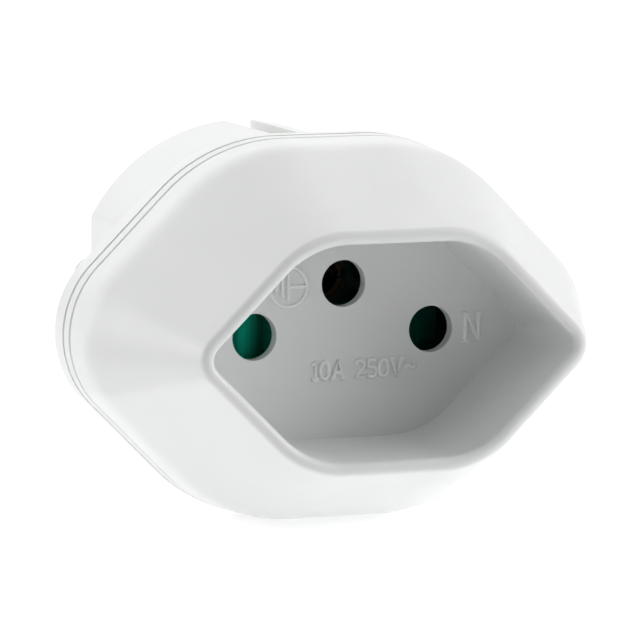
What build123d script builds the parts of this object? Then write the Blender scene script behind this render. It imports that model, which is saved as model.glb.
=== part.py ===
from build123d import *
import math
import os

# Travel adapter: a recessed three-hole socket in front, a round earthed plug behind.
# Millimetres. X to the right seen from the socket, +Z up, +Y out of the back towards the plug pins.
# The origin is the centre of the plug's end face, midway between its pins.

# Lengths along Y
barrel_length = 18.7
rear_depth = 3.7
front_depth = 21.3
recess_depth = 14.1
floor_thickness = 1.3

# Six-sided outline of the body at the parting line, to its sharp corners
body_tip = 31.25
body_corner = 11.95
body_half_height = 19.25
body_tip_radius = 9.9
body_corner_radius = 17.5

# Six-sided outline of the recess at its floor, to its sharp corners
recess_tip = 19.5
recess_corner = 8.8
recess_half_height = 10.55
recess_tip_radius = 1.45
recess_corner_radius = 8.8
recess_draft = 0.6

# Front shell
wall_draft = 3.7
wall_height = 5.9
shoulder_radius = 7.0
front_wall = 2.0
well_wall = 1.8
hollow_setback = 7.0
rim_width = 1.38
rim_outer_round = 0.8
rim_inner_round = 0.65
hollow_ledge = 0.5
lip_height = 2.0
lip_groove = 0.4
lip_groove_depth = 0.15
lip_round = 0.1
seam_gap = 0.35
seam_gap_depth = 0.35

# Rear shell and plug body
rear_shrink = 0.1
rear_wall = 1.8
rear_edge_radius = 1.5
barrel_step = 0.79
barrel_play = 1.3
barrel_flat_wall = 1.95
barrel_end_wall = 2.5
barrel_edge_radius = 0.3
barrel_corner_radius = 1.5
slot_width = 3.0
slot_depth = 2.4
slot_wall = 0.8

# Socket holes and plug pins
pole_spacing = 19.0
earth_offset = 5.0
socket_hole_radius = 2.36
pin_radius = 2.4
pin_length = 19.0
pin_tip_radius = 2.2
pin_root_step = 0.3
pin_collar_radius = 3.4
pin_collar = 1.2
pin_shank_radius = 2.0
pin_shank = 3.4
earth_hole_drop = 10.0
earth_hole_radius = 2.45
earth_hole_depth = 15.0

# Contacts
contact_radius = 2.9
contact_bore_radius = 2.05
contact_mouth = 0.2
contact_end = 2.0
contact_slit = 0.8
contact_slit_length = 9.0
clip_thickness = 0.5
clip_length = 2.5
clip_setback = 4.2
clip_gap = 1.4

# Contact carrier
carrier_thickness = 1.4
carrier_top = 9.2
carrier_bottom = 5.6
carrier_half_width = 15.5
carrier_corner_radius = 2.0
carrier_sleeve_radius = 4.5
carrier_sleeve_bore = 3.6
carrier_sleeve_length = 11.0

# Shutter, its spring and its cover
shutter_travel = 4.8
shutter_thickness = 3.8
shutter_plate = 1.0
shutter_half_height = 3.6
shutter_low_top = 2.5
shutter_rim = 0.9
shutter_window_half = 2.2
ramp_left = 2.5
window_length = 4.7
spring_pocket_half = 1.6
spring_pocket_floor = 0.8
spring_axis_z = -0.4
spring_coil_radius = 1.1
spring_wire_radius = 0.13
spring_turns = 5
spring_peg = 0.8
cover_thickness = 1.0
cover_half_width = 17.4
cover_half_height = 10.4
cover_corner_radius = 3.0
cover_hole_radius = 2.5
cover_post_x = 8.2
cover_post_z = 8.2
cover_post_radius = 1.9
cover_spigot_radius = 0.9
guide_rib = 1.0
guide_inner = 3.2

# Screws
case_screw_x = 21.0
case_post_radius = 3.0
case_screw_radius = 1.1
case_screw_length = 10.0
case_head_radius = 2.1
case_head_height = 1.3
case_head_sink = 1.6
cover_screw_radius = 0.8
cover_screw_length = 3.4
screw_head_radius = 1.7
screw_head_height = 0.9
earth_screw_radius = 1.2
earth_screw_length = 3.6
earth_head_radius = 2.1
earth_head_height = 1.3
drive_slot = 0.5
drive_depth = 0.5

# Earth strap and earth socket
strap_thickness = 0.8
strap_width = 2.6
strap_eye_radius = 4.4
strap_pad_radius = 3.2
strap_end_gap = 2.2
strap_bend_radius = 0.7
earth_socket_radius = 3.1

# Clearances
fit_gap = 0.05
slide_gap = 0.2
part_gap = 0.1
spring_end_gap = 0.02

# Places along Y, counted from the plug's end face
y_rear = -barrel_length
y_seam = y_rear - rear_depth
y_rim = y_seam - front_depth
y_floor = y_rim + recess_depth
y_floor_back = y_floor + floor_thickness
y_shoulder = y_seam - wall_height
y_lip = y_seam - lip_height + lip_groove
y_shutter_front = y_floor_back + slide_gap
y_shutter_back = y_shutter_front + shutter_thickness
y_cover_front = y_shutter_back + slide_gap
y_cover_back = y_cover_front + cover_thickness
y_rear_inside = y_rear - rear_wall
y_strap_front = y_rear_inside - strap_thickness
y_carrier_front = y_strap_front - carrier_thickness
y_contact_front = y_carrier_front - contact_mouth
y_end_inside = -barrel_end_wall
y_collar = y_end_inside - pin_collar
y_contact_back = y_collar - pin_shank
pole_x = pole_spacing / 2
sleeve_reach = pole_x + carrier_sleeve_radius
barrel_radius = body_half_height - barrel_step
barrel_inner = sleeve_reach + barrel_play
flat_inner = sleeve_reach + slide_gap
barrel_flat = flat_inner + barrel_flat_wall
slot_floor = barrel_radius - slot_depth
hollow_half_height = slot_floor - slot_wall
strap_reach = slot_floor + strap_thickness
pin_root_radius = pin_radius + pin_root_step
ramp_right = shutter_travel - window_length / 2
shoulder_shrink = wall_height * math.tan(math.radians(wall_draft))
lip_shrink = lip_height * math.tan(math.radians(wall_draft))
y_hollow_front = y_rim + hollow_setback
y_screw_seat = y_rear - case_head_sink
y_case_pilot = y_screw_seat - case_screw_length - slide_gap
y_peg_end = y_shutter_back - spring_pocket_floor - slide_gap
y_spring = (y_shutter_front + y_shutter_back - spring_pocket_floor) / 2
shutter_left = -pole_x - ramp_left - shutter_rim
shutter_right = pole_x + ramp_right + window_length + shutter_rim
block_left = -pole_x + ramp_right + window_length
block_right = pole_x - ramp_left
notch_left = block_left + slide_gap
peg_left = block_left + shutter_rim + part_gap
spring_left = peg_left + spring_peg + spring_wire_radius + spring_end_gap
spring_length = block_right - shutter_rim - spring_wire_radius - spring_end_gap - spring_left
guide_outer = case_screw_x - case_post_radius
poles = [(-pole_x, 0), (pole_x, 0)]
contact_places = [(-pole_x, 0), (pole_x, 0), (0, earth_offset)]
case_screw_places = [(-case_screw_x, 0), (case_screw_x, 0)]
spigot_places = [(-cover_post_x, cover_post_z), (cover_post_x, cover_post_z)]
cover_screw_places = [(-cover_post_x, -cover_post_z), (cover_post_x, -cover_post_z)]
cover_post_places = spigot_places + cover_screw_places
body_outline = (body_tip, body_corner, body_half_height, body_tip_radius, body_corner_radius)
recess_outline = (recess_tip, recess_corner, recess_half_height, recess_tip_radius, recess_corner_radius)


def across(y):
    """Plane square to the adapter's axis at depth y, facing the front."""
    return Plane(origin=(0, y, 0), x_dir=(1, 0, 0), z_dir=(0, -1, 0))


def six_sided(outline, grow):
    """Six-sided face with rounded corners, grown outwards all round by grow."""
    tip, corner, half, tip_radius, corner_radius = outline
    side = math.hypot(tip - corner, half)
    side_x = half / side
    side_z = (tip - corner) / side
    reach = side_x * tip + grow
    high = half + grow
    far = reach / side_x
    near = (reach - side_z * high) / side_x
    with BuildSketch(Plane.XY, mode=Mode.PRIVATE) as face:
        Polygon((far, 0), (near, high), (-near, high), (-far, 0), (-near, -high), (near, -high), align=None)
        tips = face.vertices().filter_by_position(Axis.Y, -0.01, 0.01)
        fillet(tips, tip_radius + grow)
        corners = face.vertices().group_by(Axis.Y)[0] + face.vertices().group_by(Axis.Y)[-1]
        fillet(corners, corner_radius + grow)
    return face.sketch


def hexagon(y, outline, grow=0.0, hole=None):
    """Draw the six-sided face at depth y, as a ring where hole gives its inner growth."""
    with BuildSketch(across(y)) as face:
        add(six_sided(outline, grow))
        if hole is not None:
            add(six_sided(outline, hole), mode=Mode.SUBTRACT)
    return face.sketch


def barrel_section(y, radius, flat, high):
    """Draw a round face at depth y, cut flat at the sides and limited to a half height."""
    with BuildSketch(across(y)) as face:
        Circle(radius)
        Rectangle(2 * flat, 2 * high, mode=Mode.INTERSECT)
    return face.sketch


def discs(y, places, radius):
    """Draw a round face at each place at depth y."""
    with BuildSketch(across(y)) as face:
        with Locations(*places):
            Circle(radius)
    return face.sketch


def bar(y, x_min, x_max, z_min, z_max):
    """Draw a rectangle at depth y."""
    with BuildSketch(across(y)) as face:
        with Locations(((x_min + x_max) / 2, (z_min + z_max) / 2)):
            Rectangle(x_max - x_min, z_max - z_min)
    return face.sketch


os.makedirs("parts", exist_ok=True)

# Front shell: drafted side wall, sloping flank up to a rounded rim, hollow back and the recess
with BuildPart() as front_shell:
    extrude(hexagon(y_seam, body_outline), amount=wall_height, taper=wall_draft)
    loft([hexagon(y_shoulder, body_outline, -shoulder_shrink),
          hexagon(y_rim, recess_outline, rim_width)], ruled=True)
    shoulder = front_shell.edges().filter_by_position(Axis.Y, y_shoulder - 0.01, y_shoulder + 0.01)
    fillet(shoulder, shoulder_radius)
    rim = front_shell.edges().filter_by_position(Axis.Y, y_rim - 0.01, y_rim + 0.01)
    fillet(rim, rim_outer_round)
    # hollow back, with a wall left under the skin
    extrude(hexagon(y_seam, body_outline, -front_wall), amount=wall_height, taper=wall_draft,
            mode=Mode.SUBTRACT)
    loft([hexagon(y_shoulder, body_outline, -shoulder_shrink - front_wall),
          hexagon(y_hollow_front, recess_outline, well_wall + hollow_ledge)], ruled=True,
         mode=Mode.SUBTRACT)
    # cup round the recess
    extrude(hexagon(y_floor_back, recess_outline, well_wall), amount=y_floor_back - y_hollow_front + well_wall)
    # posts for the case screws and the shutter cover
    extrude(discs(y_carrier_front, case_screw_places, case_post_radius), amount=y_carrier_front - y_case_pilot)
    extrude(discs(y_cover_front, cover_post_places, cover_post_radius), amount=y_cover_front - y_floor_back)
    extrude(discs(y_cover_back, spigot_places, cover_spigot_radius), amount=y_cover_back - y_floor_back)
    # guides above and below the shutter, and the peg that its spring pushes on
    for side in (-1, 1):
        for level in (-1, 1):
            with BuildSketch(across(y_cover_front)) as guide:
                with Locations((side * (guide_inner + guide_outer) / 2,
                                level * (shutter_half_height + slide_gap + guide_rib / 2))):
                    Rectangle(guide_outer - guide_inner, guide_rib)
            extrude(guide.sketch, amount=y_cover_front - y_floor_back)
    extrude(bar(y_peg_end, peg_left, peg_left + spring_peg, spring_axis_z - spring_pocket_half + slide_gap,
                spring_axis_z + spring_pocket_half - slide_gap), amount=y_peg_end - y_floor_back)
    # the recess and its three holes
    extrude(hexagon(y_floor, recess_outline), amount=recess_depth + rim_width, taper=-recess_draft,
            mode=Mode.SUBTRACT)
    rim_face = front_shell.faces().sort_by(Axis.Y)[0]
    fillet(rim_face.inner_wires().edges(), rim_inner_round)
    extrude(discs(y_floor_back, contact_places, socket_hole_radius), amount=2 * floor_thickness,
            mode=Mode.SUBTRACT)
    # pilot holes for the screws
    extrude(discs(y_carrier_front, case_screw_places, case_screw_radius), amount=y_carrier_front - y_case_pilot,
            mode=Mode.SUBTRACT)
    extrude(discs(y_cover_front, cover_screw_places, cover_screw_radius), amount=y_cover_front - y_floor_back,
            mode=Mode.SUBTRACT)
    # open outer edge of the parting line, and the groove that marks off its narrow lip
    extrude(hexagon(y_seam, body_outline, lip_groove, -seam_gap_depth), amount=seam_gap, mode=Mode.SUBTRACT)
    extrude(hexagon(y_lip, body_outline, lip_groove, -lip_shrink - lip_groove_depth), amount=lip_groove,
            mode=Mode.SUBTRACT)
    lip_faces = front_shell.faces().filter_by(Axis.Y)
    for y_side in (y_seam - seam_gap, y_lip):
        side_face = lip_faces.filter_by_position(Axis.Y, y_side - 0.01, y_side + 0.01)[0]
        fillet(side_face.outer_wire().edges(), lip_round)
front_shell.part.label = "front_shell"
export_step(front_shell.part, "parts/front_shell.step")

# Rear shell: shallow back and the plug body in one
with BuildPart() as rear_shell:
    loft([hexagon(y_rear, body_outline, -rear_shrink), hexagon(y_seam, body_outline)], ruled=True)
    fillet(rear_shell.faces().sort_by(Axis.Y)[-1].edges(), rear_edge_radius)
    extrude(barrel_section(0, barrel_radius, barrel_flat, barrel_radius), amount=barrel_length + rear_wall / 2)
    corners = rear_shell.edges().filter_by(Axis.Y).filter_by_position(Axis.Y, y_rear, 0)
    fillet(corners, barrel_corner_radius)
    fillet(rear_shell.faces().sort_by(Axis.Y)[-1].edges(), barrel_edge_radius)
    # hollow shell and hollow plug body
    extrude(hexagon(y_rear_inside, body_outline, -rear_shrink - rear_wall), amount=rear_depth, mode=Mode.SUBTRACT)
    extrude(barrel_section(y_end_inside, barrel_inner, flat_inner, hollow_half_height), amount=barrel_length,
            mode=Mode.SUBTRACT)
    # bosses that back the carrier's ears
    extrude(discs(y_rear_inside, case_screw_places, case_post_radius), amount=strap_thickness)
    # slots along the top and bottom of the plug body, and the ways in for the strap's arms
    for level in (-1, 1):
        z_floor = level * slot_floor
        extrude(bar(0, -slot_width / 2, slot_width / 2, *sorted((z_floor, level * (barrel_radius + 1)))),
                amount=barrel_length, mode=Mode.SUBTRACT)
        extrude(bar(y_rear, -strap_width / 2 - fit_gap, strap_width / 2 + fit_gap,
                    *sorted((z_floor, level * (strap_reach + fit_gap)))),
                amount=rear_wall, mode=Mode.SUBTRACT)
    # holes for the pins, the earth socket and the case screws
    extrude(discs(0, poles, pin_root_radius + fit_gap), amount=barrel_end_wall, mode=Mode.SUBTRACT)
    extrude(discs(0, [(0, -earth_hole_drop)], earth_hole_radius + part_gap), amount=barrel_end_wall,
            mode=Mode.SUBTRACT)
    extrude(discs(y_rear, case_screw_places, case_head_radius + part_gap), amount=case_head_sink,
            mode=Mode.SUBTRACT)
    extrude(discs(y_rear, case_screw_places, case_screw_radius + part_gap),
            amount=rear_wall + strap_thickness, mode=Mode.SUBTRACT)
rear_shell.part.label = "rear_shell"
export_step(rear_shell.part, "parts/rear_shell.step")

# Shutter: a plate with two ramps behind the outer holes and a window to the right of each
with BuildPart() as shutter:
    extrude(bar(y_shutter_back, shutter_left, shutter_right, -shutter_half_height, shutter_half_height),
            amount=shutter_plate)
    for pole in (-pole_x, pole_x):
        with BuildSketch(Plane.XY.offset(-shutter_half_height)) as ramp:
            Polygon((pole - ramp_left, y_shutter_back - shutter_plate), (pole - ramp_left, y_shutter_front),
                    (pole + ramp_right, y_shutter_back - shutter_plate), align=None)
        extrude(ramp.sketch, amount=2 * shutter_half_height)
        extrude(bar(y_shutter_back, pole + ramp_right, pole + ramp_right + window_length,
                    -shutter_window_half, shutter_window_half), amount=shutter_thickness, mode=Mode.SUBTRACT)
    extrude(bar(y_shutter_back, block_left, block_right, -shutter_half_height, shutter_low_top),
            amount=shutter_thickness)
    extrude(bar(y_shutter_back, notch_left, block_right, shutter_low_top, shutter_half_height),
            amount=shutter_thickness, mode=Mode.SUBTRACT)
    extrude(bar(y_shutter_back - spring_pocket_floor, block_left + shutter_rim, block_right - shutter_rim,
                spring_axis_z - spring_pocket_half, spring_axis_z + spring_pocket_half),
            amount=shutter_thickness, mode=Mode.SUBTRACT)
shutter.part.label = "shutter"
export_step(shutter.part, "parts/shutter.step")

# Shutter spring: a small coil between the peg and the end of the shutter's pocket
with BuildPart() as shutter_spring:
    with BuildLine() as coil:
        Helix(spring_length / spring_turns, spring_length, spring_coil_radius,
              center=(spring_left, y_spring, spring_axis_z), direction=(1, 0, 0))
    with BuildSketch(Plane(origin=coil.line @ 0, z_dir=coil.line % 0)) as wire:
        Circle(spring_wire_radius)
    sweep(wire.sketch, path=coil.line, is_frenet=True)
shutter_spring.part.label = "shutter_spring"
export_step(shutter_spring.part, "parts/shutter_spring.step")

# Shutter cover: plate on four posts behind the shutter
with BuildPart() as shutter_cover:
    with BuildSketch(across(y_cover_back)) as plate:
        RectangleRounded(2 * cover_half_width, 2 * cover_half_height, cover_corner_radius)
        with Locations(*contact_places):
            Circle(cover_hole_radius, mode=Mode.SUBTRACT)
        with Locations(*spigot_places):
            Circle(cover_spigot_radius + fit_gap, mode=Mode.SUBTRACT)
        with Locations(*cover_screw_places):
            Circle(cover_screw_radius + part_gap, mode=Mode.SUBTRACT)
    extrude(plate.sketch, amount=cover_thickness)
shutter_cover.part.label = "shutter_cover"
export_step(shutter_cover.part, "parts/shutter_cover.step")

# Contact carrier: plate with an ear on each side and a sleeve round each outer contact
with BuildPart() as contact_carrier:
    with BuildSketch(across(y_strap_front)) as plate:
        Rectangle(2 * case_screw_x, 2 * case_post_radius)
        with Locations(*case_screw_places):
            Circle(case_post_radius)
        with Locations((0, (carrier_top - carrier_bottom) / 2)):
            RectangleRounded(2 * carrier_half_width, carrier_top + carrier_bottom, carrier_corner_radius)
        with Locations(*case_screw_places):
            Circle(case_screw_radius + part_gap, mode=Mode.SUBTRACT)
    extrude(plate.sketch, amount=carrier_thickness)
    extrude(discs(y_strap_front + carrier_sleeve_length, poles, carrier_sleeve_radius),
            amount=carrier_sleeve_length + carrier_thickness / 2)
    extrude(discs(y_strap_front + carrier_sleeve_length, poles, carrier_sleeve_bore),
            amount=carrier_sleeve_length, mode=Mode.SUBTRACT)
    extrude(discs(y_strap_front, contact_places, contact_radius + fit_gap), amount=carrier_thickness,
            mode=Mode.SUBTRACT)
contact_carrier.part.label = "contact_carrier"
export_step(contact_carrier.part, "parts/contact_carrier.step")

# Contacts: slotted tubes, each with a steel ring that squeezes it
for name, (x, z) in zip(("live", "neutral", "earth"), contact_places):
    with BuildPart() as contact:
        extrude(discs(y_contact_back, [(x, z)], contact_radius), amount=y_contact_back - y_contact_front)
        extrude(discs(y_contact_back - contact_end, [(x, z)], contact_bore_radius),
                amount=y_contact_back - y_contact_front, mode=Mode.SUBTRACT)
        with BuildSketch(across(y_contact_front + contact_slit_length)) as slits:
            with Locations((x, z)):
                Rectangle(contact_slit, 3 * contact_radius)
                Rectangle(3 * contact_radius, contact_slit)
        extrude(slits.sketch, amount=contact_slit_length, mode=Mode.SUBTRACT)
    contact.part.label = name + "_contact"
    export_step(contact.part, "parts/" + name + "_contact.step")

    with BuildPart() as clip:
        with BuildSketch(across(y_contact_front + clip_setback + clip_length)) as ring:
            with Locations((x, z)):
                Circle(contact_radius + clip_thickness)
                Circle(contact_radius, mode=Mode.SUBTRACT)
            with Locations((x, z - contact_radius)):
                Rectangle(clip_gap, 2 * contact_radius, mode=Mode.SUBTRACT)
        extrude(ring.sketch, amount=clip_length)
    clip.part.label = name + "_contact_clip"
    export_step(clip.part, "parts/" + name + "_contact_clip.step")

# Plug pins: round pin outside, a wider root in the end wall, collar and shank inside the plug body
for name, (x, z) in zip(("live", "neutral"), poles):
    with BuildPart() as pin:
        extrude(discs(pin_length, [(x, z)], pin_radius), amount=pin_length)
        fillet(pin.faces().sort_by(Axis.Y)[-1].edges(), pin_tip_radius)
        extrude(discs(0, [(x, z)], pin_root_radius), amount=barrel_end_wall)
        extrude(discs(y_end_inside, [(x, z)], pin_collar_radius), amount=pin_collar)
        extrude(discs(y_collar, [(x, z)], pin_shank_radius), amount=pin_shank)
    pin.part.label = name + "_pin"
    export_step(pin.part, "parts/" + name + "_pin.step")

# Earth strap: a web inside the back, with an arm bent into each slot of the plug body
with BuildPart() as earth_strap:
    with BuildSketch(across(y_rear_inside)) as web:
        Rectangle(strap_width, 2 * strap_reach)
        with Locations((0, earth_offset)):
            Circle(strap_eye_radius)
        with Locations((0, -earth_hole_drop)):
            Circle(strap_pad_radius)
        with Locations((0, earth_offset)):
            Circle(contact_radius, mode=Mode.SUBTRACT)
        with Locations((0, -earth_hole_drop)):
            Circle(earth_screw_radius + part_gap, mode=Mode.SUBTRACT)
    extrude(web.sketch, amount=strap_thickness)
    for level in (-1, 1):
        arm = bar(-strap_end_gap, -strap_width / 2, strap_width / 2,
                  *sorted((level * slot_floor, level * strap_reach)))
        extrude(arm, amount=-strap_end_gap - y_strap_front)
    bends = earth_strap.edges().filter_by(Axis.X).filter_by_position(Axis.Y, y_strap_front - 0.01,
                                                                     y_strap_front + 0.01)
    fillet(bends.group_by(Axis.Z)[0] + bends.group_by(Axis.Z)[-1], strap_bend_radius)
earth_strap.part.label = "earth_strap"
export_step(earth_strap.part, "parts/earth_strap.step")

# Earth socket: a turned tube between the strap and the plug's end wall
with BuildPart() as earth_socket:
    place = [(0, -earth_hole_drop)]
    extrude(discs(y_end_inside, place, earth_socket_radius), amount=y_end_inside - y_rear_inside)
    extrude(discs(y_end_inside, place, earth_hole_radius), amount=earth_hole_depth - barrel_end_wall,
            mode=Mode.SUBTRACT)
    extrude(discs(y_strap_front + earth_screw_length, place, earth_screw_radius), amount=earth_screw_length,
            mode=Mode.SUBTRACT)
earth_socket.part.label = "earth_socket"
export_step(earth_socket.part, "parts/earth_socket.step")

# Earth screw: from the front through the strap's pad into the earth socket
with BuildPart() as earth_screw:
    place = [(0, -earth_hole_drop)]
    extrude(discs(y_strap_front, place, earth_head_radius), amount=earth_head_height)
    extrude(discs(y_strap_front + earth_screw_length, place, earth_screw_radius), amount=earth_screw_length)
    extrude(bar(y_strap_front - earth_head_height + drive_depth, -earth_head_radius, earth_head_radius,
                -earth_hole_drop - drive_slot / 2, -earth_hole_drop + drive_slot / 2),
            amount=drive_depth, mode=Mode.SUBTRACT)
earth_screw.part.label = "earth_screw"
export_step(earth_screw.part, "parts/earth_screw.step")

# Case screws: from the back, sunk in the rear shell, into the front shell's posts
for name, (x, z) in zip(("left", "right"), case_screw_places):
    with BuildPart() as screw:
        extrude(discs(y_screw_seat + case_head_height, [(x, z)], case_head_radius), amount=case_head_height)
        extrude(discs(y_screw_seat, [(x, z)], case_screw_radius), amount=case_screw_length)
        with BuildSketch(across(y_screw_seat + case_head_height)) as drive:
            with Locations((x, z)):
                Rectangle(drive_slot, 1.2 * case_head_radius)
                Rectangle(1.2 * case_head_radius, drive_slot)
        extrude(drive.sketch, amount=drive_depth, mode=Mode.SUBTRACT)
    screw.part.label = "case_screw_" + name
    export_step(screw.part, "parts/case_screw_" + name + ".step")

# Cover screws: hold the shutter cover to the lower posts
for name, (x, z) in zip(("left", "right"), cover_screw_places):
    with BuildPart() as screw:
        extrude(discs(y_cover_back + screw_head_height, [(x, z)], screw_head_radius), amount=screw_head_height)
        extrude(discs(y_cover_back, [(x, z)], cover_screw_radius), amount=cover_screw_length)
        extrude(bar(y_cover_back + screw_head_height, x - screw_head_radius, x + screw_head_radius,
                    z - drive_slot / 2, z + drive_slot / 2), amount=drive_depth, mode=Mode.SUBTRACT)
    screw.part.label = "cover_screw_" + name
    export_step(screw.part, "parts/cover_screw_" + name + ".step")
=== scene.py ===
import math

import bpy
from mathutils import Matrix, Vector


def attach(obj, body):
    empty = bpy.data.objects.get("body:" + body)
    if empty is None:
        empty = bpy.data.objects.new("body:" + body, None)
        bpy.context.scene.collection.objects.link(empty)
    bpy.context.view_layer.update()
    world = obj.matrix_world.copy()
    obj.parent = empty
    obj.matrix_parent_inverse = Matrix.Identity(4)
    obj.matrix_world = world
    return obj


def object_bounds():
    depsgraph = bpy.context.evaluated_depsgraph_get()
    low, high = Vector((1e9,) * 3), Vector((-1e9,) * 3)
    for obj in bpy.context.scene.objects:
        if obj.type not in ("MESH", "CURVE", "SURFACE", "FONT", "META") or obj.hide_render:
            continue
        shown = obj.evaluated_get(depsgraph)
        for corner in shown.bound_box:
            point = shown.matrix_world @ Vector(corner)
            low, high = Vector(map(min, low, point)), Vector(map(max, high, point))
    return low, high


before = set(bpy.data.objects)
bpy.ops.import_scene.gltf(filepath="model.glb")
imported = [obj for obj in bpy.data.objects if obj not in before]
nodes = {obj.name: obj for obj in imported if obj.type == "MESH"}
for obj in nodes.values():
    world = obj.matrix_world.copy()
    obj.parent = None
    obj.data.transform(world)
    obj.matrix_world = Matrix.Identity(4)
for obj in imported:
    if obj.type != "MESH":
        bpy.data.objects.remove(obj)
cad_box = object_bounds()
scene = bpy.context.scene
scene.view_settings.view_transform = "Standard"

MM = 0.001
WHITE = (1.0, 1.0, 1.0, 1.0)

# Front and back of the recess floor along Y, in mm
FLOOR_FRONT = -29.6
FLOOR_BACK = -28.3


# Building blocks for node trees

def add_node(tree, kind, values=None, **settings):
    """New node with its settings. Each value is set on its input, or linked to it if it is a socket."""
    node = tree.nodes.new(kind)
    for setting, value in settings.items():
        setattr(node, setting, value)
    for key, value in (values or {}).items():
        if isinstance(value, bpy.types.NodeSocket):
            tree.links.new(value, node.inputs[key])
        else:
            node.inputs[key].default_value = value
    return node


def object_place(tree):
    """The shaded point in the object's own coordinates."""
    return add_node(tree, "ShaderNodeTexCoord").outputs["Object"]


def noise(tree, place, scale, detail, roughness=0.5):
    """Noise over a place, scale in waves per metre."""
    values = {"Vector": place, "Scale": scale, "Detail": detail, "Roughness": roughness}
    return add_node(tree, "ShaderNodeTexNoise", values).outputs["Fac"]


def map_range(tree, value, start, end, low=0.0, high=1.0):
    """Value mapped from start..end to low..high, and held between them."""
    values = {"Value": value, "From Min": start, "From Max": end, "To Min": low, "To Max": high}
    return add_node(tree, "ShaderNodeMapRange", values).outputs["Result"]


def ramp(tree, factor, stops, interpolation="LINEAR"):
    """Colour ramp fed by a factor, stops as (place, colour)."""
    node = add_node(tree, "ShaderNodeValToRGB", {"Fac": factor})
    node.color_ramp.interpolation = interpolation
    elements = node.color_ramp.elements
    while len(elements) < len(stops):
        elements.new(0.5)
    for element, (place, colour) in zip(elements, stops):
        element.position = place
        element.color = (*colour, 1.0)
    return node.outputs["Color"]


# Materials

# Noise scales in waves per metre, and the parts of the noise factor that are spread over a range
PLASTIC_DRIFT = 55.0
PLASTIC_GLOSS = 160.0
PLASTIC_GRAIN = 5200.0
INNER_GRAIN = 4200.0
METAL_DRIFT = 90.0
METAL_LINES = 900.0
NOISE_SPAN = (0.3, 0.7)
TONE_SPAN = (0.35, 0.65)

PLASTIC_IOR = 1.53
COAT_ROUGHNESS = 0.08

# Stretch of a metal's noise: fine lines round the Y axis, or an even grain
TURNED = (0.4, 6.0, 0.4)
EVEN = (1.0, 1.0, 1.0)


def toned_material(name, tones, drift_scale):
    """Material whose colour drifts softly between a dark and a light tone."""
    material = bpy.data.materials.new(name)
    material.use_nodes = True
    tree = material.node_tree
    shader = tree.nodes["Principled BSDF"]
    place = object_place(tree)
    tone = ramp(tree, noise(tree, place, drift_scale, 4.0), list(zip(TONE_SPAN, tones)))
    tree.links.new(tone, shader.inputs["Base Color"])
    return material, tree, shader, place


def relief(tree, shader, height, strength, distance):
    """Fine relief on the shader's normal."""
    values = {"Height": height, "Strength": strength, "Distance": distance}
    node = add_node(tree, "ShaderNodeBump", values)
    tree.links.new(node.outputs["Normal"], shader.inputs["Normal"])


def plastic(name, tones, roughness, grain_height, grain_scale=PLASTIC_GRAIN, coat=0.0):
    """Moulded plastic: faint tone drift, uneven gloss and a fine moulded grain."""
    material, tree, shader, place = toned_material(name, tones, PLASTIC_DRIFT)
    gloss = noise(tree, place, PLASTIC_GLOSS, 5.0, 0.6)
    tree.links.new(map_range(tree, gloss, *NOISE_SPAN, *roughness), shader.inputs["Roughness"])
    relief(tree, shader, noise(tree, place, grain_scale, 2.0, 0.6), 0.25, grain_height)
    shader.inputs["IOR"].default_value = PLASTIC_IOR
    if coat:
        shader.inputs["Coat Weight"].default_value = coat
        shader.inputs["Coat Roughness"].default_value = COAT_ROUGHNESS
    return material


def metal(name, tones, roughness, line_height, stretch=TURNED):
    """Turned, drawn or plated metal: faint tone drift and fine lines or grain in its gloss."""
    material, tree, shader, place = toned_material(name, tones, METAL_DRIFT)
    shader.inputs["Metallic"].default_value = 1.0
    mapping = add_node(tree, "ShaderNodeMapping", {"Vector": place, "Scale": stretch})
    lines = noise(tree, mapping.outputs["Vector"], METAL_LINES, 3.0)
    tree.links.new(map_range(tree, lines, *NOISE_SPAN, *roughness), shader.inputs["Roughness"])
    relief(tree, shader, lines, 0.3, line_height)
    return material


def open_tone(material):
    """A material's tree, its base colour input, the tone that feeds it and the object's own axes."""
    tree = material.node_tree
    base = tree.nodes["Principled BSDF"].inputs["Base Color"]
    split = add_node(tree, "ShaderNodeSeparateXYZ", {"Vector": object_place(tree)})
    return tree, base, base.links[0].from_socket, split.outputs


def painted_light_bands(material, piece, stops):
    """Painted light and shade on a plastic: darken it in soft bands along a piece, stops as (share of its
    length, level).
    """
    tree, base, tone, axes = open_tone(material)
    reach = [vertex.co.x for vertex in piece.data.vertices]
    along = map_range(tree, axes["X"], min(reach), max(reach))
    bands = ramp(tree, along, [(place, (level, level, level)) for place, level in stops], "EASE")
    values = {"Fac": 1.0, "Color1": tone, "Color2": bands}
    mix = add_node(tree, "ShaderNodeMixRGB", values, blend_type="MULTIPLY")
    tree.links.new(mix.outputs["Color"], base)


def darken_inside(material, radius, level):
    """Darken what lies behind the recess floor, within a radius of the middle, where no light reaches."""
    tree, base, tone, axes = open_tone(material)
    edge = 0.1 * MM
    behind = map_range(tree, axes["Y"], FLOOR_BACK * MM - edge, FLOOR_BACK * MM + edge)
    flat = add_node(tree, "ShaderNodeCombineXYZ", {"X": axes["X"], "Z": axes["Z"]})
    away = add_node(tree, "ShaderNodeVectorMath", {0: flat.outputs["Vector"]}, operation="LENGTH")
    near = map_range(tree, away.outputs["Value"], radius, radius + MM, 1.0, 0.0)
    mask = add_node(tree, "ShaderNodeMath", {0: behind, 1: near}, operation="MULTIPLY")
    values = {"Fac": mask.outputs[0], "Color1": tone, "Color2": (level, level, level, 1.0)}
    mix = add_node(tree, "ShaderNodeMixRGB", values)
    tree.links.new(mix.outputs["Color"], base)


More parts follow.
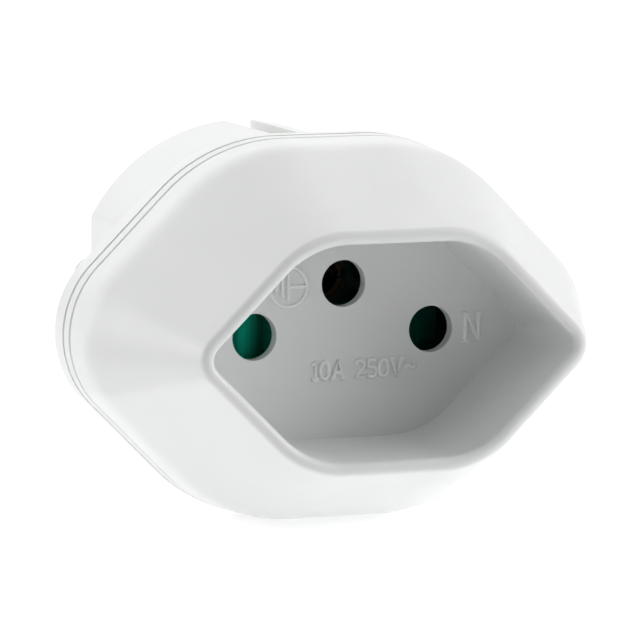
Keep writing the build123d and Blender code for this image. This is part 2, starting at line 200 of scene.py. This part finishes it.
shell_tones = ((0.835, 0.846, 0.840), (0.865, 0.876, 0.870))
# The marks' tones are lighter than the shell plastic they are moulded in: a painted highlight for the light
# their raised strokes catch
lit_mark_tones = ((0.965, 0.975, 0.97), (0.98, 0.99, 0.985))
green_tones = ((0.010, 0.60, 0.40), (0.016, 0.70, 0.47))
black_tones = ((0.012, 0.012, 0.013), (0.020, 0.020, 0.021))
# The contacts' bronze is darkened almost to black: painted shade for the dark holes they sit behind
shaded_bronze_tones = ((0.040, 0.029, 0.013), (0.060, 0.044, 0.020))
brass_tones = ((0.30, 0.21, 0.085), (0.42, 0.30, 0.13))
nickel_tones = ((0.60, 0.59, 0.56), (0.72, 0.71, 0.68))
zinc_tones = ((0.46, 0.47, 0.49), (0.60, 0.61, 0.62))

shell_mat = plastic("shell_plastic", shell_tones, (0.34, 0.46), 0.00002)
front_mat = plastic("front_shell_plastic", shell_tones, (0.34, 0.46), 0.00002)
mark_mat = plastic("mark_plastic", lit_mark_tones, (0.24, 0.34), 0.00001)
shutter_mat = plastic("shutter_plastic", green_tones, (0.16, 0.26), 0.00001, coat=0.4)
cover_mat = plastic("cover_plastic", green_tones, (0.26, 0.36), 0.00001)
inner_mat = plastic("inner_plastic", black_tones, (0.42, 0.55), 0.00002, INNER_GRAIN)
contact_mat = metal("shaded_bronze", shaded_bronze_tones, (0.36, 0.52), 0.00001)
brass_mat = metal("brass", brass_tones, (0.30, 0.46), 0.00001)
pin_mat = metal("nickel_plate", nickel_tones, (0.14, 0.24), 0.000006)
steel_mat = metal("zinc_steel", zinc_tones, (0.26, 0.40), 0.00001, EVEN)

mark_values = mark_mat.node_tree.nodes["Principled BSDF"].inputs
mark_values["Sheen Weight"].default_value = 0.8
mark_values["Sheen Roughness"].default_value = 0.7

# The shutter is brightest behind the left hole, a painted highlight, and painted shade darkens it towards the
# right; its cover shows green beside it there and is painted dark with shade beyond
painted_light_bands(shutter_mat, nodes["shutter"],
           [(0.0, 0.24), (0.075, 0.26), (0.095, 0.72), (0.11, 1.0), (0.135, 1.0), (0.155, 0.72),
            (0.18, 0.42), (0.62, 0.13), (0.80, 0.08)])
# Painted shade on the cover: almost black beyond the left hole
painted_light_bands(cover_mat, nodes["shutter_cover"], [(0.0, 0.9), (0.37, 0.9), (0.41, 0.05), (1.0, 0.03)])
darken_inside(front_mat, 9.0 * MM, 0.01)

finishes = {
    "front_shell": front_mat, "rear_shell": shell_mat, "shutter": shutter_mat,
    "shutter_spring": steel_mat, "shutter_cover": cover_mat, "contact_carrier": inner_mat,
    "live_contact": contact_mat, "neutral_contact": contact_mat, "earth_contact": contact_mat,
    "live_contact_clip": steel_mat, "neutral_contact_clip": steel_mat, "earth_contact_clip": steel_mat,
    "live_pin": pin_mat, "neutral_pin": pin_mat, "earth_strap": pin_mat, "earth_socket": brass_mat,
    "earth_screw": steel_mat, "case_screw_left": steel_mat, "case_screw_right": steel_mat,
    "cover_screw_left": steel_mat, "cover_screw_right": steel_mat}
for name, material in finishes.items():
    slots = nodes[name].data.materials
    for index in range(len(slots)):
        slots[index] = material
    if not slots:
        slots.append(material)


# Raised marks on the recess floor: plain strokes with a round top, each letter as (width, strokes)

# A stroke stands out of the floor by this many radii, and is pressed this much flatter
STAND_OUT = 1.35
FLATTEN = 0.95
STROKES = {
    "N": (0.74, [[(0.02, 0.0), (0.24, 0.0)], [(0.13, 0.0), (0.13, 1.0)],
                 [(0.0, 1.0), (0.17, 1.0), (0.60, 0.0)], [(0.60, 0.0), (0.60, 1.0)],
                 [(0.49, 1.0), (0.71, 1.0)]]),
    "1": (0.42, [[(0.06, 0.80), (0.22, 1.0), (0.22, 0.0)], [(0.06, 0.0), (0.38, 0.0)]]),
    "0": (0.56, [[(0.26, 1.0), (0.09, 0.86), (0.04, 0.5), (0.09, 0.14), (0.26, 0.0), (0.43, 0.14),
                  (0.48, 0.5), (0.43, 0.86), (0.26, 1.0)]]),
    "2": (0.56, [[(0.05, 0.76), (0.10, 0.94), (0.26, 1.0), (0.42, 0.92), (0.46, 0.74), (0.38, 0.52),
                  (0.05, 0.0), (0.48, 0.0), (0.48, 0.12)]]),
    "5": (0.56, [[(0.44, 1.0), (0.12, 1.0), (0.08, 0.56), (0.26, 0.62), (0.42, 0.52), (0.47, 0.32),
                  (0.40, 0.08), (0.24, 0.0), (0.06, 0.10)]]),
    "A": (0.70, [[(0.0, 0.0), (0.16, 0.0)], [(0.08, 0.0), (0.32, 1.0), (0.57, 0.0)],
                 [(0.48, 0.0), (0.66, 0.0)], [(0.17, 0.36), (0.48, 0.36)]]),
    "V": (0.68, [[(0.0, 1.0), (0.18, 1.0)], [(0.09, 1.0), (0.33, 0.0), (0.57, 1.0)],
                 [(0.48, 1.0), (0.66, 1.0)]]),
    "~": (0.60, [[(0.04, 0.40), (0.12, 0.56), (0.22, 0.58), (0.36, 0.42), (0.46, 0.42), (0.54, 0.58)]]),
    " ": (0.40, [])}


def strokes_piece(name, runs, origin, scale, radius):
    """Raised strokes as one piece, from runs of points that are scaled to mm from an origin in (X, Z)."""
    data = bpy.data.curves.new(name, "CURVE")
    data.dimensions = "3D"
    data.bevel_depth = radius * MM
    data.bevel_resolution = 2
    data.use_fill_caps = True
    for run in runs:
        closed = run[0] == run[-1] and len(run) > 2
        points = run[:-1] if closed else run
        spline = data.splines.new("POLY")
        spline.points.add(len(points) - 1)
        for point, (across, high) in zip(spline.points, points):
            x = origin[0] + across * scale[0]
            z = origin[1] + high * scale[1]
            point.co = (x * MM, 0.0, z * MM, 1.0)
        spline.use_cyclic_u = closed
    curve = bpy.data.objects.new(name, data)
    scene.collection.objects.link(curve)
    bpy.context.view_layer.update()
    mesh = bpy.data.meshes.new_from_object(curve.evaluated_get(bpy.context.evaluated_depsgraph_get()))
    bpy.data.objects.remove(curve)
    piece = bpy.data.objects.new(name, mesh)
    scene.collection.objects.link(piece)
    low = min(vertex.co.y for vertex in mesh.vertices)
    for vertex in mesh.vertices:
        vertex.co.y = FLOOR_FRONT * MM + (vertex.co.y - low - STAND_OUT * radius * MM) * FLATTEN
    mesh.materials.clear()
    mesh.materials.append(mark_mat)
    for polygon in mesh.polygons:
        polygon.use_smooth = True
    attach(piece, "adapter")


def lettering(name, words, origin, size, spread, radius):
    """A line of stroke letters that starts at an origin on the recess floor, spread wider by a factor."""
    runs = []
    start = 0.0
    for letter in words:
        width, strokes = STROKES[letter]
        for stroke in strokes:
            runs.append([(start + across, high) for across, high in stroke])
        start += width
    strokes_piece(name, runs, origin, (size * spread, size), radius)


lettering("neutral_mark", "N", (12.86, -1.36), 2.72, 1.12, 0.24)
lettering("rating_mark", "10A 250V~", (-3.5, -4.55), 1.75, 1.3, 0.23)

# Protective earth sign: a ring with a stem and three bars, a quarter turn round
ring_radius = 2.0
ring_steps = 48
angles = [math.tau * step / ring_steps for step in range(ring_steps)]
ring = [(ring_radius * math.cos(angle), ring_radius * math.sin(angle)) for angle in angles]
stem = [(0.0, 0.0), (ring_radius, 0.0)]
bars = [[(across, half), (across, -half)] for across, half in ((0.0, 1.35), (-0.62, 1.0), (-1.24, 0.6))]
strokes_piece("earth_mark", [ring + ring[:1], stem, *bars], (-5.95, 4.9), (1.0, 1.0), 0.2)


# Camera at the photograph's angle, from the picture's right, down and forward directions

picture_right = Vector((0.926054, -0.377258, 0.010024))
picture_down = Vector((-0.043708, -0.133597, -0.990071))
picture_forward = Vector((0.374851, 0.916422, -0.140207))
camera_place = Vector((-207.783, -531.469, 78.21)) * MM
camera_data = bpy.data.cameras.new("camera")
camera_data.sensor_width = 36.0
camera_data.lens = 309.403
camera_data.clip_start = 0.01
camera_data.clip_end = 10.0
camera = bpy.data.objects.new("camera", camera_data)
turn = Matrix((picture_right, -picture_down, -picture_forward)).transposed()
camera.matrix_world = Matrix.Translation(camera_place) @ turn.to_4x4()
scene.collection.objects.link(camera)
scene.camera = camera


# Floor and white surroundings: both glow for the camera and in reflections, and light nothing else

FLOOR_HALF = 3.0
FLOOR_TONE = (0.80, 0.80, 0.80, 1.0)
FLOOR_GLOW = 0.44


def seen_rays(tree):
    """1 for camera and glossy rays, 0 for all others."""
    path = add_node(tree, "ShaderNodeLightPath").outputs
    values = {0: path["Is Camera Ray"], 1: path["Is Glossy Ray"]}
    return add_node(tree, "ShaderNodeMath", values, operation="MAXIMUM").outputs[0]


floor_z = cad_box[0][2]
corners = [(x * FLOOR_HALF, y * FLOOR_HALF, floor_z) for x, y in ((-1, -1), (1, -1), (1, 1), (-1, 1))]
floor_mesh = bpy.data.meshes.new("floor")
floor_mesh.from_pydata(corners, [], [(0, 1, 2, 3)])
floor = bpy.data.objects.new("floor", floor_mesh)
scene.collection.objects.link(floor)
floor_mat = bpy.data.materials.new("floor_paper")
floor_mat.use_nodes = True
floor_tree = floor_mat.node_tree
paper = floor_tree.nodes["Principled BSDF"].inputs
paper["Base Color"].default_value = FLOOR_TONE
paper["Roughness"].default_value = 0.9
paper["Specular IOR Level"].default_value = 0.1
paper["Emission Color"].default_value = WHITE
glow = add_node(floor_tree, "ShaderNodeMath", {0: seen_rays(floor_tree), 1: FLOOR_GLOW}, operation="MULTIPLY")
floor_tree.links.new(glow.outputs[0], paper["Emission Strength"])
floor_mesh.materials.append(floor_mat)
floor.visible_shadow = False

world = bpy.data.worlds.new("studio")
scene.world = world
world.use_nodes = True
background = world.node_tree.nodes["Background"].inputs
background["Color"].default_value = WHITE
world.node_tree.links.new(seen_rays(world.node_tree), background["Strength"])


# Soft square lamps aimed at the object, as (name, place, side, power) in metres and watts

LAMP_TARGET = Vector((0.0, -0.025, 0.0))
lamps = [
    ("below", (0.0, -0.05, -0.85), 0.7, 4.0),
    ("right", (0.85, -0.05, 0.12), 0.7, 2.35),
    ("right_front", (0.75, -0.40, 0.10), 0.7, 3.7),
    ("right_high", (0.50, -0.45, 0.50), 0.7, 1.3),
    ("top_left", (-0.65, -0.05, 0.55), 0.7, 2.1),
    ("top_front", (0.0, -0.40, 0.75), 0.7, 0.65),
    ("back_top", (0.0, 0.50, 0.70), 1.2, 4.9),
    ("back_left", (-0.75, 0.40, 0.10), 0.7, 3.7)]
for name, place, side, power in lamps:
    data = bpy.data.lights.new(name, "AREA")
    data.size = side
    data.energy = power
    lamp = bpy.data.objects.new(name, data)
    lamp.location = Vector(place)
    lamp.rotation_euler = (LAMP_TARGET - lamp.location).to_track_quat("-Z", "Y").to_euler()
    scene.collection.objects.link(lamp)
